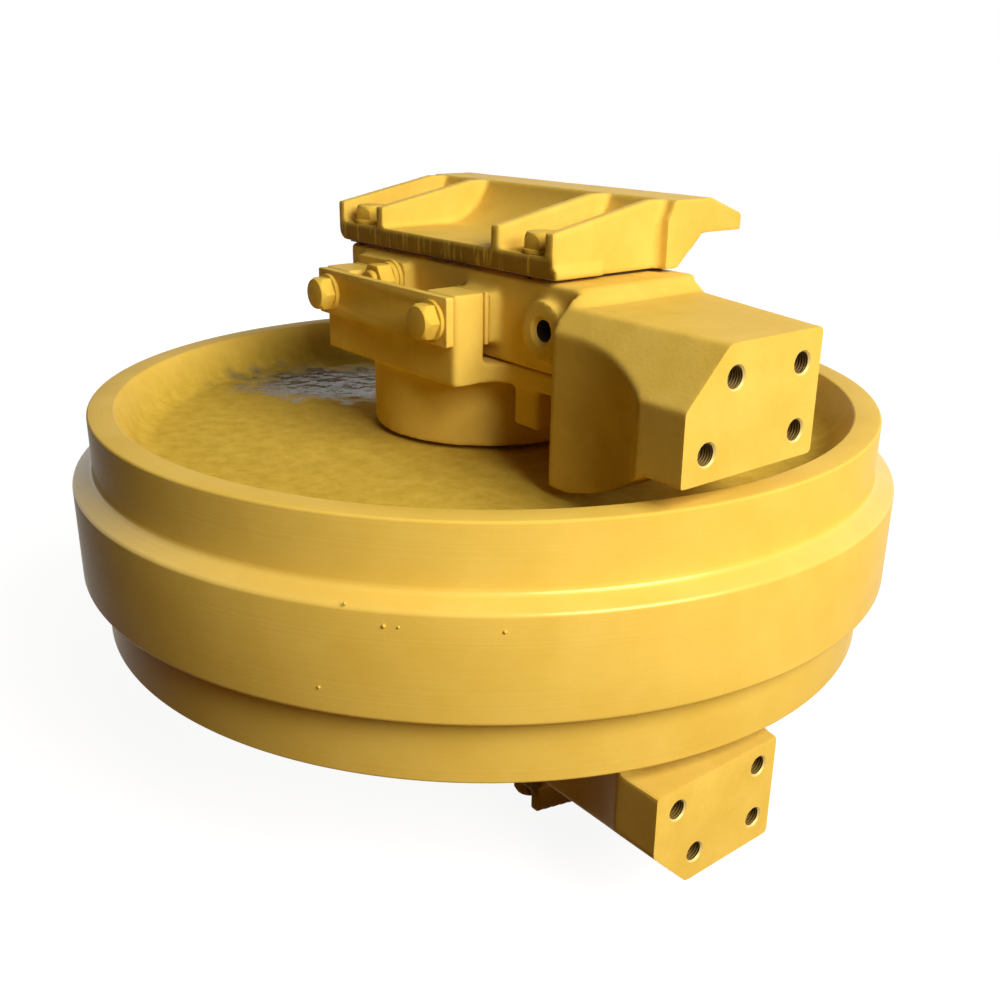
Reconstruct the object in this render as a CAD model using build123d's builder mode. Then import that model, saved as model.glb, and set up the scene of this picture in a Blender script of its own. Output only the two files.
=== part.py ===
from build123d import *
import os

# Front idler of a large crawler excavator: the wheel that turns the track at the front of its frame.
# Millimetres. The wheel's axis is Z and its mid-plane is z = 0, as the idler lies on its side in store.
# +X points to the four-hole end faces, which the track tensioner's yoke is bolted to.
# -Y is the side with the retainer plates. What stands above the wheel is mirrored below it.

# Wheel: one hollow steel casting with a raised centre flange between two treads
tread_radius = 395.0
wheel_width = 221.0
flange_radius = 414.5
flange_tip_width = 92.0
flange_root_width = 108.0
rim_face_width = 25.0
recess_depth = 38.5
recess_wall_run = 24.0
recess_fillet = 22.0
flange_edge_radius = 3.5
rim_edge_radius = 2.0
web_thickness = 16.0
rim_wall = 43.0
core_corner_radius = 18.0
core_port_radius = 18.0
core_port_count = 4
hub_radius = 92.0
hub_length = 212.0
hub_root_fillet = 8.0
hub_wall = 20.0

# Shaft and bearings
shaft_radius = 50.0
shaft_length = 476.0
shaft_chamfer = 3.0
running_gap = 0.06
slip_gap = 0.05
bushing_wall = 8.0
bushing_flange_radius = 72.0
bushing_flange_thickness = 6.0
bushing_length = 68.0
bushing_inset = 20.0
oil_hole_radius = 5.0
oil_hole_depth = 250.0
plug_radius = 9.0
plug_length = 14.0
plug_socket_flats = 8.0
plug_socket_depth = 7.0
shaft_oring_section = 2.5
shaft_oring_groove_depth = 5.0
shaft_oring_groove_width = 6.2

# Floating face seals
seal_bore_radius = 76.0
seal_ring_inner_radius = 60.0
seal_ring_outer_radius = 73.0
seal_tail_radius = 65.0
seal_ring_height = 18.0
seal_lip_height = 5.0
seal_film = 0.1
seal_rise = 4.0
toric_squeeze_gap = 0.1

# Collar: seal housing with a square base, two ears, and a wing with a stop lug under it
barrel_radius = 115.0
barrel_height = 69.0
barrel_gap = 5.0
skirt_gap = 5.0
skirt_headroom = 6.0
seal_pocket_depth = 18.0
thrust_sleeve_gap = 1.5
thrust_gap = 0.4
base_thickness = 18.5
base_half_length = 110.0
base_back = 76.0
base_corner_radius = 5.0
wing_reach = 186.0
wing_front = 71.0
wing_back = 71.0
wing_cove_radius = 24.0
lug_width = 33.0
lug_depth = 68.0
lug_drop = 37.5
lug_gap = 12.0
lug_corner_radius = 3.0
ear_width = 46.0
ear_depth = 35.0
ear_height = 64.5
ear_bridge_rise = 24.0

# Fasteners, 20 mm thread
bolt_radius = 10.0
bolt_flats = 30.0
head_height = 14.0
nut_height = 16.0
washer_radius = 18.5
washer_thickness = 4.0
spring_washer_thickness = 4.5
spring_washer_radius = 16.5
clearance_hole_radius = 10.5
thread_gap = 0.05
engagement = 44.0
thread_run_out = 2.0

# Bracket: body over the shaft's end, arm and end block
base_to_body_gap = 1.2
body_height = 79.0
body_front = 73.0
body_left = 147.0
body_right = 213.0
body_corner_radius = 14.0
body_edge_radius = 4.0
pad_height = 11.0
pad_foot = 16.0
pad_corner_radius = 5.0
pad_margin = 2.0
left_pad_inner_x = -26.0
left_pad_top_gap = 7.0
lock_bolt_inset = 20.0
lock_bolt_drop = 23.5
lock_end_run = 5.0
boss_x = 178.0
boss_drop = 40.0
boss_radius = 26.5
boss_height = 9.0
boss_hole_radius = 9.6
boss_chamfer = 4.0
end_face_setback = 6.5
arm_drop = 12.2
arm_root_x = 216.0
arm_root_front = 105.0
arm_front = 130.0
arm_back = 20.0
arm_back_root = 66.0
arm_scoop_start = 30.0
arm_pad_length = 46.0
arm_corner_radius = 5.0
arm_chamfer_rise = 44.0
arm_chamfer_run = 43.0
arm_web_clearance = 8.0
rim_clearance = 20.5
underside_start = 24.0
underside_end = 40.0
underside_bow = 7.0
ramp_length = 18.0
hole_core_radius = 8.65
hole_mouth_radius = 10.2
hole_depth = 46.0
hole_back_y = -1.0
outer_hole_spacing = 77.0
inner_hole_spacing = 103.0
outer_hole_drop = 26.0
hole_rows_apart = 53.5

# Retainer plate across the ears, and the shims behind them
ear_shim_thickness = 4.0
ear_shim_margin = 1.0
plate_thickness = 8.0
plate_end_gap = 1.0
plate_height = 44.5
plate_top_gap = 1.0
plate_corner_radius = 2.5
retainer_bolt_inset = 22.0

# Side guide: ribbed casting on top of the body, with a lip that overhangs to +Y
guide_shim_thickness = 3.0
shim_edge = 7.0
guide_left = -158.0
guide_right = 184.0
guide_front = 76.0
slab_thickness = 18.5
guide_height = 60.5
rib_front_rise = 20.0
end_rib_width = 11.0
middle_rib_width = 12.0
middle_rib_inset = 72.0
crest_front = 58.0
crest_back = 108.0
rib_crest_run = 21.0
crest_foot = 8.0
crest_bow_back = 8.0
crest_bow_down = 6.0
lip_tip = 150.0
lip_tip_height = 15.0
lip_drop = 16.0
lip_root = 66.0
lip_knee = 98.0
lip_overrun = 12.0
cove_y = 50.0
cove_radius = 9.0
guide_edge_radius = 12.0
ledge_width = 5.0
ledge_height = 8.5
ledge_end = -18.0
guide_bolt_inset = 35.0
guide_bolt_y = -56.0
dowel_radius = 8.0
dowel_length = 30.0
dowel_spacing = 170.0
dowel_y = 45.0

# Heights above the wheel's mid-plane that the pieces share
half_width = wheel_width / 2
web_z = half_width - recess_depth
hub_z = hub_length / 2
flange_seat_z = hub_z - bushing_inset
bushing_end_z = flange_seat_z + bushing_flange_thickness - bushing_length
seal_z = hub_z + seal_rise
barrel_bottom_z = web_z + barrel_gap
skirt_top_z = hub_z + skirt_headroom
seal_pocket_z = skirt_top_z + seal_pocket_depth
base_bottom_z = barrel_bottom_z + barrel_height
base_top_z = base_bottom_z + base_thickness
ear_top_z = base_top_z + ear_height
body_bottom_z = base_top_z + base_to_body_gap
body_top_z = body_bottom_z + body_height
guide_z = body_top_z + guide_shim_thickness
slab_top_z = guide_z + slab_thickness
guide_top_z = guide_z + guide_height
arm_top_z = body_top_z - arm_drop
arm_root_z = web_z + arm_web_clearance
end_block_z = half_width + rim_clearance

# Places that the pieces share in plan
bushing_radius = shaft_radius + running_gap + bushing_wall
end_face_x = tread_radius - end_face_setback
pad_face = body_front + pad_height
ear_back = pad_face + ear_shim_thickness
ear_front = ear_back + ear_depth
plate_front = ear_front + plate_thickness
plate_half_length = base_half_length - plate_end_gap
retainer_bolt_x = base_half_length - retainer_bolt_inset
ear_inner_x = base_half_length - ear_width
lock_bolt_x = lock_bolt_inset - ear_inner_x
plate_top_z = ear_top_z - plate_top_gap
retainer_bolt_z = plate_top_z - plate_height / 2
lock_bolt_z = body_top_z - lock_bolt_drop
boss_z = body_top_z - boss_drop
pocket_bolt_left_x = guide_left + guide_bolt_inset
pocket_bolt_right_x = guide_right - guide_bolt_inset
guide_middle_x = (guide_left + guide_right) / 2


os.makedirs("parts", exist_ok=True)


def corner(sketch, across, up):
    """The corner of a profile that lies nearest to a point."""
    return sketch.vertices().sort_by_distance((across, up))[0]


def seat(x, y, z, direction):
    """A plane at a point, facing along a direction, for a fastener to stand on."""
    return Plane(origin=(x, y, z), x_dir=(1, 0, 0) if direction[0] == 0 else (0, 1, 0), z_dir=direction)


def hex_bolt(length):
    """Hex bolt with its bearing face at z = 0 and its shank below."""
    with BuildPart() as bolt:
        with BuildSketch():
            RegularPolygon(bolt_flats / 2, 6, major_radius=False)
        extrude(amount=head_height)
        with Locations((0, 0, head_height / 2)):
            Cone(bolt_flats * 0.73, bolt_flats * 0.475, head_height, mode=Mode.INTERSECT)
        with BuildSketch():
            Circle(bolt_radius)
        extrude(amount=-length)
        chamfer(bolt.edges().group_by(Axis.Z)[0], bolt_radius * 0.15)
    return bolt.part


def washer(outer_radius, thickness):
    """Flat washer standing on z = 0."""
    with BuildPart() as ring:
        with BuildSketch():
            Circle(outer_radius)
            Circle(clearance_hole_radius, mode=Mode.SUBTRACT)
        extrude(amount=thickness)
    return ring.part


# Wheel: revolved casting, hollow between its webs, with a stepped bore through the hub
core_inner_radius = hub_radius + hub_wall
core_outer_radius = tread_radius - rim_wall
core_half_height = web_z - web_thickness
wall_foot_radius = tread_radius - rim_face_width - recess_wall_run
with BuildPart() as idler_wheel:
    with BuildSketch(Plane.XZ) as section:
        with BuildLine():
            Polyline(
                (seal_bore_radius, 0),
                (seal_bore_radius, bushing_end_z),
                (bushing_radius, bushing_end_z),
                (bushing_radius, flange_seat_z - bushing_flange_thickness),
                (seal_bore_radius, flange_seat_z - bushing_flange_thickness),
                (seal_bore_radius, hub_z),
                (hub_radius, hub_z),
                (hub_radius, web_z),
                (wall_foot_radius, web_z),
                (tread_radius - rim_face_width, half_width),
                (tread_radius, half_width),
                (tread_radius, flange_root_width / 2),
                (flange_radius, flange_tip_width / 2),
                (flange_radius, 0),
                close=True,
            )
        make_face()
        fillet(corner(section, hub_radius, web_z), hub_root_fillet)
        fillet(corner(section, wall_foot_radius, web_z), recess_fillet)
        fillet(corner(section, tread_radius - rim_face_width, half_width), rim_edge_radius)
        fillet(corner(section, tread_radius, half_width), rim_edge_radius)
        fillet(corner(section, tread_radius, flange_root_width / 2), flange_edge_radius)
        fillet(corner(section, flange_radius, flange_tip_width / 2), flange_edge_radius)
        mirror(about=Plane.XZ)
        with Locations(((core_inner_radius + core_outer_radius) / 2, 0)):
            RectangleRounded(core_outer_radius - core_inner_radius, 2 * core_half_height,
                             core_corner_radius, mode=Mode.SUBTRACT)
    revolve(axis=Axis.Z)
    # Ports through the hub's wall, where the casting core was held and the oil now passes
    port_length = core_inner_radius + core_corner_radius - seal_bore_radius + hub_wall
    with PolarLocations((seal_bore_radius + core_inner_radius) / 2, core_port_count, start_angle=45):
        Cylinder(core_port_radius, port_length, rotation=(0, 90, 0), mode=Mode.SUBTRACT)
idler_wheel.part.label = "idler_wheel"
export_step(idler_wheel.part, "parts/idler_wheel.step")

# Bushing: flanged bronze sleeve pressed into each end of the hub
with BuildPart() as bushing_upper:
    with BuildSketch(Plane.XZ):
        with BuildLine():
            Polyline(
                (shaft_radius + running_gap, bushing_end_z),
                (bushing_radius, bushing_end_z),
                (bushing_radius, flange_seat_z - bushing_flange_thickness),
                (bushing_flange_radius, flange_seat_z - bushing_flange_thickness),
                (bushing_flange_radius, flange_seat_z),
                (shaft_radius + running_gap, flange_seat_z),
                close=True,
            )
        make_face()
    revolve(axis=Axis.Z)

# Floating seal: two lapped steel rings face to face, each on a rubber ring.
# One is carried by the hub and turns; the other is held in the collar.
toric_section = (seal_bore_radius - seal_tail_radius) / 2 - toric_squeeze_gap
toric_radius = (seal_bore_radius + seal_tail_radius) / 2
toric_offset = seal_ring_height - toric_section - toric_squeeze_gap


def seal_ring_section(face_z, direction):
    """Half section of a seal ring whose lapped face lies at face_z and whose tail points away."""
    lip_z = face_z + direction * seal_lip_height
    tail_z = face_z + direction * seal_ring_height
    with BuildSketch(Plane.XZ) as half:
        with BuildLine():
            Polyline(
                (seal_ring_inner_radius, face_z),
                (seal_ring_outer_radius, face_z),
                (seal_ring_outer_radius, lip_z),
                (seal_tail_radius, lip_z),
                (seal_tail_radius, tail_z),
                (seal_ring_inner_radius, tail_z),
                close=True,
            )
        make_face()
    return half.sketch


with BuildPart() as rotating_seal_ring_upper:
    revolve(seal_ring_section(seal_z - seal_film / 2, -1), axis=Axis.Z)

with BuildPart() as stationary_seal_ring_upper:
    revolve(seal_ring_section(seal_z + seal_film / 2, 1), axis=Axis.Z)

with BuildPart() as rotating_toric_upper:
    with Locations((0, 0, seal_z - toric_offset)):
        Torus(toric_radius, toric_section)

with BuildPart() as stationary_toric_upper:
    with Locations((0, 0, seal_z + toric_offset)):
        Torus(toric_radius, toric_section)

# Shaft: plain ground bar, notched near each end for its lock bolt and drilled for oil
oring_z = (seal_pocket_z + base_top_z) / 2
groove_radius = shaft_radius - shaft_oring_groove_depth
shaft_half = shaft_length / 2
with BuildPart() as shaft:
    Cylinder(shaft_radius, shaft_length)
    chamfer(shaft.edges().group_by(Axis.Z)[0] + shaft.edges().group_by(Axis.Z)[-1], shaft_chamfer)
    for end in (1, -1):
        with BuildSketch(Plane.XY.offset(end * oring_z - shaft_oring_groove_width / 2)):
            Circle(shaft_radius + 1)
            Circle(groove_radius, mode=Mode.SUBTRACT)
        extrude(amount=shaft_oring_groove_width, mode=Mode.SUBTRACT)
        with Locations((lock_bolt_x, 0, end * lock_bolt_z)):
            Cylinder(clearance_hole_radius, 3 * shaft_radius, rotation=(90, 0, 0), mode=Mode.SUBTRACT)
    with Locations((0, 0, shaft_half - oil_hole_depth / 2)):
        Cylinder(oil_hole_radius, oil_hole_depth, mode=Mode.SUBTRACT)
    with Locations((0, 0, shaft_half - plug_length / 2)):
        Cylinder(plug_radius + thread_gap, plug_length, mode=Mode.SUBTRACT)
    with Locations((shaft_radius / 2, 0, 0)):
        Cylinder(oil_hole_radius, shaft_radius + 2, rotation=(0, 90, 0), mode=Mode.SUBTRACT)
shaft.part.label = "shaft"
export_step(shaft.part, "parts/shaft.step")

with BuildPart() as oil_plug:
    with Locations((0, 0, shaft_half - plug_length / 2)):
        Cylinder(plug_radius, plug_length)
    with BuildSketch(Plane.XY.offset(shaft_half)):
        RegularPolygon(plug_socket_flats / 2, 6, major_radius=False)
    extrude(amount=-plug_socket_depth, mode=Mode.SUBTRACT)
oil_plug.part.label = "oil_plug"
export_step(oil_plug.part, "parts/oil_plug.step")

with BuildPart() as shaft_oring_upper:
    with Locations((0, 0, oring_z)):
        Torus(groove_radius + shaft_oring_section, shaft_oring_section - slip_gap / 2)

# Collar: barrel with a skirt round the hub, seal pocket, thrust sleeve, square base and two ears
bore_radius = shaft_radius + slip_gap
sleeve_radius = seal_ring_inner_radius - thrust_sleeve_gap
with BuildPart() as collar_upper:
    with BuildSketch(Plane.XY.offset(base_bottom_z)) as base_plan:
        with Locations((0, (base_back - ear_front) / 2)):
            Rectangle(2 * base_half_length, ear_front + base_back)
        with Locations((wing_reach / 2, (wing_back - wing_front) / 2)):
            Rectangle(wing_reach, wing_front + wing_back)
        fillet(corner(base_plan, base_half_length, -wing_front), wing_cove_radius)
        for across in (-1, 1):
            fillet(corner(base_plan, across * base_half_length, -ear_front), base_corner_radius)
        for along in (-wing_front, wing_back):
            fillet(corner(base_plan, wing_reach, along), base_corner_radius)
    extrude(amount=base_thickness)
    with BuildSketch(Plane.XY.offset(base_bottom_z)):
        with Locations((barrel_radius + lug_gap + lug_width / 2, 0)):
            RectangleRounded(lug_width, 2 * lug_depth, lug_corner_radius)
    extrude(amount=-lug_drop)
    with BuildSketch(Plane.XY.offset(base_top_z)):
        with Locations(*[(side * (base_half_length - ear_width / 2), -ear_front + ear_depth / 2)
                         for side in (-1, 1)]):
            RectangleRounded(ear_width, ear_depth, base_corner_radius)
    extrude(amount=ear_height)
    # Bridge between the ears, whose top lies behind the retainer plate
    with BuildSketch(Plane.XY.offset(base_top_z)):
        with Locations((0, -ear_front + ear_depth / 2)):
            Rectangle(2 * ear_inner_x + 2 * base_corner_radius, ear_depth)
    extrude(amount=ear_bridge_rise)
    with BuildSketch(Plane.XZ):
        with BuildLine():
            Polyline(
                (bore_radius, flange_seat_z + thrust_gap),
                (sleeve_radius, flange_seat_z + thrust_gap),
                (sleeve_radius, seal_pocket_z),
                (seal_bore_radius, seal_pocket_z),
                (seal_bore_radius, skirt_top_z),
                (hub_radius + skirt_gap, skirt_top_z),
                (hub_radius + skirt_gap, barrel_bottom_z),
                (barrel_radius, barrel_bottom_z),
                (barrel_radius, base_bottom_z),
                (bore_radius, base_bottom_z),
                close=True,
            )
        make_face()
    revolve(axis=Axis.Z)
    with BuildSketch(Plane.XY.offset(base_top_z)):
        Circle(bore_radius)
    extrude(amount=-base_thickness, mode=Mode.SUBTRACT)
    with BuildSketch(Plane.XZ.offset(ear_front)):
        with Locations(*[(side * retainer_bolt_x, retainer_bolt_z) for side in (-1, 1)]):
            Circle(clearance_hole_radius)
    extrude(amount=-ear_depth, mode=Mode.SUBTRACT)

# Rounded shoulder that carries the ramp round the body's front corner and onto the arm
with BuildPart() as shoulder:
    with Locations((body_right - body_edge_radius, body_edge_radius - body_front,
                    (arm_top_z + body_top_z) / 2)):
        Cone(body_edge_radius + ramp_length, body_edge_radius, arm_drop)
    split(bisect_by=Plane.YZ.offset(arm_root_x))

# Bracket: body with the shaft's bore, arm that dips into the wheel's recess, and end block
with BuildPart() as bracket_upper:
    with BuildSketch(Plane.XY.offset(body_bottom_z)) as body_plan:
        with Locations(((body_right - body_left) / 2, 0)):
            Rectangle(body_right + body_left, 2 * body_front)
        fillet(body_plan.vertices().sort_by(Axis.X)[:2], body_corner_radius)
    extrude(amount=body_height)
    fillet(bracket_upper.edges().group_by(Axis.Z)[-1], body_edge_radius)
    # Pads that the shims and ears bear on; the left one is longer, and carries the lock bolt's nut
    with BuildSketch(Plane.XZ.offset(body_front)) as right_pad:
        with Locations(((ear_inner_x + base_half_length) / 2, (body_bottom_z + pad_foot + ear_top_z) / 2)):
            RectangleRounded(ear_width + 2 * pad_margin, ear_top_z - body_bottom_z - pad_foot, pad_corner_radius)
    extrude(amount=pad_height)
    left_pad_top = body_top_z - left_pad_top_gap
    with BuildSketch(Plane.XZ.offset(body_front)) as left_pad:
        with Locations(((left_pad_inner_x - base_half_length) / 2,
                        (body_bottom_z + pad_foot + left_pad_top) / 2)):
            RectangleRounded(base_half_length + left_pad_inner_x + 2 * pad_margin,
                             left_pad_top - body_bottom_z - pad_foot, pad_corner_radius)
    extrude(amount=pad_height)
    with BuildSketch(Plane.XZ.offset(body_front)):
        with Locations((boss_x, boss_z)):
            Circle(boss_radius)
    extrude(amount=boss_height)
    # Arm in plan: a scoop runs from the narrow root out to the end block's flat side
    with BuildSketch(Plane.XY.offset(arm_root_z)) as arm_plan:
        with BuildLine():
            front_run = Line((arm_root_x, -arm_root_front), (arm_root_x + arm_scoop_start, -arm_root_front))
            scoop = TangentArc(front_run @ 1, (end_face_x - arm_pad_length, -arm_front), tangent=(1, 0))
            Polyline(
                scoop @ 1,
                (end_face_x, -arm_front),
                (end_face_x, arm_back),
                (arm_root_x + ramp_length / 2, arm_back_root),
                (body_right - ramp_length, arm_back_root),
                (body_right - ramp_length, 0),
                (arm_root_x, 0),
                front_run @ 0,
            )
        make_face()
        fillet(corner(arm_plan, arm_root_x, -arm_root_front), arm_corner_radius)
        fillet(corner(arm_plan, arm_root_x + ramp_length / 2, arm_back_root), arm_corner_radius)
    extrude(amount=arm_top_z - arm_root_z)
    # Underside: swept up from the root to clear the wheel's rim
    sweep_start = arm_root_x + underside_start
    sweep_end = end_face_x - underside_end
    with BuildSketch(Plane.XZ.offset(-2 * arm_front)):
        with BuildLine():
            under = ThreePointArc(
                (sweep_start, arm_root_z),
                ((sweep_start + sweep_end) / 2, (arm_root_z + end_block_z) / 2 - underside_bow),
                (sweep_end, end_block_z),
            )
            Polyline(
                under @ 1,
                (end_face_x + 10, end_block_z),
                (end_face_x + 10, arm_root_z - 10),
                (sweep_start, arm_root_z - 10),
                under @ 0,
            )
        make_face()
    extrude(amount=4 * arm_front, mode=Mode.SUBTRACT)
    # Ramp from the body's top down to the arm
    with BuildSketch(Plane.XZ.offset(body_front - body_edge_radius)):
        with BuildLine():
            Polyline(
                (body_right - 2 * ramp_length, body_top_z),
                (body_right, body_top_z),
                (body_right + ramp_length, arm_top_z),
                (body_right + ramp_length, arm_top_z - 8),
                (body_right - 2 * ramp_length, arm_top_z - 8),
                close=True,
            )
        make_face()
    extrude(amount=-(body_front - body_edge_radius + arm_back_root))
    add(shoulder.part)
    # Chamfer along the arm's outboard front edge
    with BuildSketch(Plane.YZ.offset(arm_root_x - 2)):
        with BuildLine():
            Polyline(
                (-arm_front + arm_chamfer_run, arm_top_z),
                (-arm_front - 10, arm_top_z - arm_chamfer_rise - 10 * arm_chamfer_rise / arm_chamfer_run),
                (-arm_front - 10, arm_top_z + 10),
                (-arm_front + arm_chamfer_run, arm_top_z + 10),
                close=True,
            )
        make_face()
    extrude(amount=end_face_x - arm_root_x + 12, mode=Mode.SUBTRACT)
    # Bores and tapped holes
    with BuildSketch(Plane.XY.offset(body_top_z)):
        Circle(bore_radius)
    extrude(amount=-body_height, mode=Mode.SUBTRACT)
    with Locations((lock_bolt_x, 0, lock_bolt_z)):
        Cylinder(clearance_hole_radius, 3 * body_front, rotation=(90, 0, 0), mode=Mode.SUBTRACT)
    with BuildSketch(Plane.XZ.offset(pad_face)):
        with Locations(*[(side * retainer_bolt_x, retainer_bolt_z) for side in (-1, 1)]):
            Circle(bolt_radius + thread_gap)
    extrude(amount=-engagement - thread_run_out, mode=Mode.SUBTRACT)
    boss_face = seat(boss_x, -body_front - boss_height, boss_z, (0, -1, 0))
    with Locations(boss_face):
        CounterSinkHole(boss_hole_radius, boss_hole_radius + boss_chamfer, 2 * body_front + boss_height + 4)
    with BuildSketch(Plane.XY.offset(body_top_z)):
        with Locations(*[(x, guide_bolt_y) for x in (pocket_bolt_left_x, pocket_bolt_right_x)]):
            Circle(bolt_radius + thread_gap)
    extrude(amount=-engagement, mode=Mode.SUBTRACT)
    with BuildSketch(Plane.XY.offset(body_top_z)):
        with Locations(*[(guide_middle_x + side * dowel_spacing / 2, dowel_y) for side in (-1, 1)]):
            Circle(dowel_radius)
    extrude(amount=-dowel_length / 2, mode=Mode.SUBTRACT)
    outer_row_z = arm_top_z - outer_hole_drop
    yoke_holes = [
        (hole_back_y, outer_row_z),
        (hole_back_y - outer_hole_spacing, outer_row_z),
        (hole_back_y, outer_row_z - hole_rows_apart),
        (hole_back_y - inner_hole_spacing, outer_row_z - hole_rows_apart),
    ]
    with Locations(*[seat(end_face_x, y, z, (1, 0, 0)) for y, z in yoke_holes]):
        CounterSinkHole(hole_core_radius, hole_mouth_radius, hole_depth, counter_sink_angle=90)

# Lock bolt: crosses the bracket through the shaft's notch, with its nut on the left pad
lock_nut_y = -pad_face - washer_thickness - spring_washer_thickness
lock_grip = pad_face + body_front + 2 * washer_thickness + spring_washer_thickness
with BuildPart() as lock_bolt_upper:
    with Locations(seat(lock_bolt_x, body_front + washer_thickness, lock_bolt_z, (0, 1, 0))):
        add(hex_bolt(lock_grip + nut_height + lock_end_run))

with BuildPart() as lock_nut_upper:
    with BuildSketch(seat(lock_bolt_x, lock_nut_y, lock_bolt_z, (0, -1, 0))):
        RegularPolygon(bolt_flats / 2, 6, major_radius=False)
        Circle(bolt_radius + thread_gap, mode=Mode.SUBTRACT)
    extrude(amount=nut_height)

with BuildPart() as lock_washers_upper:
    with Locations(seat(lock_bolt_x, -pad_face, lock_bolt_z, (0, -1, 0)),
                   seat(lock_bolt_x, body_front, lock_bolt_z, (0, 1, 0))):
        add(washer(washer_radius, washer_thickness))
    with Locations(seat(lock_bolt_x, -pad_face - washer_thickness, lock_bolt_z, (0, -1, 0))):
        add(washer(spring_washer_radius, spring_washer_thickness))

# Shims, plate and bolts that clamp the collar's ears to the bracket's pads
ear_spots = [side * (base_half_length - ear_width / 2) for side in (-1, 1)]
shim_foot_z = body_bottom_z + pad_foot
with BuildPart() as ear_shims_upper:
    with BuildSketch(Plane.XZ.offset(pad_face)):
        with Locations(*[(x, (shim_foot_z + ear_top_z) / 2) for x in ear_spots]):
            Rectangle(ear_width - 2 * ear_shim_margin, ear_top_z - shim_foot_z)
        with Locations(*[(side * retainer_bolt_x, retainer_bolt_z) for side in (-1, 1)]):
            Circle(clearance_hole_radius, mode=Mode.SUBTRACT)
    extrude(amount=ear_shim_thickness)

with BuildPart() as retainer_plate_upper:
    with BuildSketch(Plane.XZ.offset(ear_front)):
        with Locations((0, retainer_bolt_z)):
            RectangleRounded(2 * plate_half_length, plate_height, plate_corner_radius)
        with Locations(*[(side * retainer_bolt_x, retainer_bolt_z) for side in (-1, 1)]):
            Circle(clearance_hole_radius, mode=Mode.SUBTRACT)
    extrude(amount=plate_thickness)

with BuildPart() as retainer_washers_upper:
    with Locations(*[seat(side * retainer_bolt_x, -plate_front, retainer_bolt_z, (0, -1, 0))
                     for side in (-1, 1)]):
        add(washer(washer_radius, washer_thickness))

retainer_length = washer_thickness + plate_front - pad_face + engagement
with BuildPart() as retainer_bolts_upper:
    with Locations(*[seat(side * retainer_bolt_x, -plate_front - washer_thickness, retainer_bolt_z, (0, -1, 0))
                     for side in (-1, 1)]):
        add(hex_bolt(retainer_length))

# Side guide: slab, four wedge ribs, and a crest whose lip overhangs the bracket
lip_under_z = guide_top_z - lip_drop - lip_tip_height
with BuildPart() as side_guide_upper:
    with BuildSketch(Plane.YZ.offset(guide_left - lip_overrun)):
        with BuildLine():
            back_wall = ThreePointArc(
                (crest_foot, slab_top_z),
                ((crest_foot + crest_front) / 2 + crest_bow_back,
                 (slab_top_z + guide_top_z) / 2 - crest_bow_down),
                (crest_front, guide_top_z),
            )
            Polyline(
                back_wall @ 1,
                (crest_back, guide_top_z),
                (lip_tip, guide_top_z - lip_drop),
                (lip_tip, lip_under_z),
                (lip_knee, lip_under_z),
                (lip_root, guide_z),
                (-guide_front, guide_z),
                (-guide_front, slab_top_z),
                back_wall @ 0,
            )
        make_face()
    extrude(amount=guide_right - guide_left + 2 * lip_overrun)
    rib_starts = [
        (guide_left, end_rib_width),
        (guide_left + middle_rib_inset, middle_rib_width),
        (guide_right - middle_rib_inset - middle_rib_width, middle_rib_width),
        (guide_right - end_rib_width, end_rib_width),
    ]
    for start, width in rib_starts:
        with BuildSketch(Plane.YZ.offset(start)):
            with BuildLine():
                Polyline(
                    (-guide_front, slab_top_z - 4),
                    (-guide_front, slab_top_z + rib_front_rise),
                    (crest_front - rib_crest_run, guide_top_z),
                    (crest_front + 10, guide_top_z),
                    (crest_front + 10, slab_top_z - 4),
                    close=True,
                )
            make_face()
        extrude(amount=width)
    # The lip runs past both end ribs; a round cove joins it to them
    for end_x, outward in ((guide_right, 1), (guide_left, -1)):
        with BuildSketch(Plane.XY.offset(guide_z - 1)) as notch:
            with Locations((end_x + outward * 2 * lip_overrun, (cove_y - 2 * guide_front) / 2)):
                Rectangle(4 * lip_overrun, cove_y + 2 * guide_front)
            fillet(corner(notch, end_x, cove_y), cove_radius)
        extrude(amount=guide_height + 2, mode=Mode.SUBTRACT)
    # Thin foot along the right end
    with BuildSketch(Plane.XY.offset(guide_z)):
        with Locations((guide_right + ledge_width / 2 - 1, (ledge_end - guide_front) / 2)):
            Rectangle(ledge_width + 2, ledge_end + guide_front)
    extrude(amount=ledge_height)
    # Rounded lower left edge of the slab
    with BuildSketch(Plane.XZ.offset(2 * guide_front)):
        with BuildLine():
            toe = RadiusArc((guide_left, guide_z + guide_edge_radius),
                            (guide_left + guide_edge_radius, guide_z), -guide_edge_radius)
            Polyline(toe @ 1, (guide_left + guide_edge_radius, guide_z - 1), (guide_left - 1, guide_z - 1),
                     (guide_left - 1, guide_z + guide_edge_radius), toe @ 0)
        make_face()
    extrude(amount=-(2 * guide_front + cove_y - cove_radius), mode=Mode.SUBTRACT)
    with BuildSketch(Plane.XY.offset(slab_top_z)):
        with Locations(*[(x, guide_bolt_y) for x in (pocket_bolt_left_x, pocket_bolt_right_x)]):
            Circle(clearance_hole_radius)
    extrude(amount=-slab_thickness, mode=Mode.SUBTRACT)
    with BuildSketch(Plane.XY.offset(guide_z)):
        with Locations(*[(guide_middle_x + side * dowel_spacing / 2, dowel_y) for side in (-1, 1)]):
            Circle(dowel_radius)
    extrude(amount=dowel_length / 2 - guide_shim_thickness, mode=Mode.SUBTRACT)

pocket_seats = [seat(x, guide_bolt_y, slab_top_z, (0, 0, 1))
                for x in (pocket_bolt_left_x, pocket_bolt_right_x)]
with BuildPart() as guide_washers_upper:
    with Locations(*pocket_seats):
        add(washer(washer_radius, washer_thickness))

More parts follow.
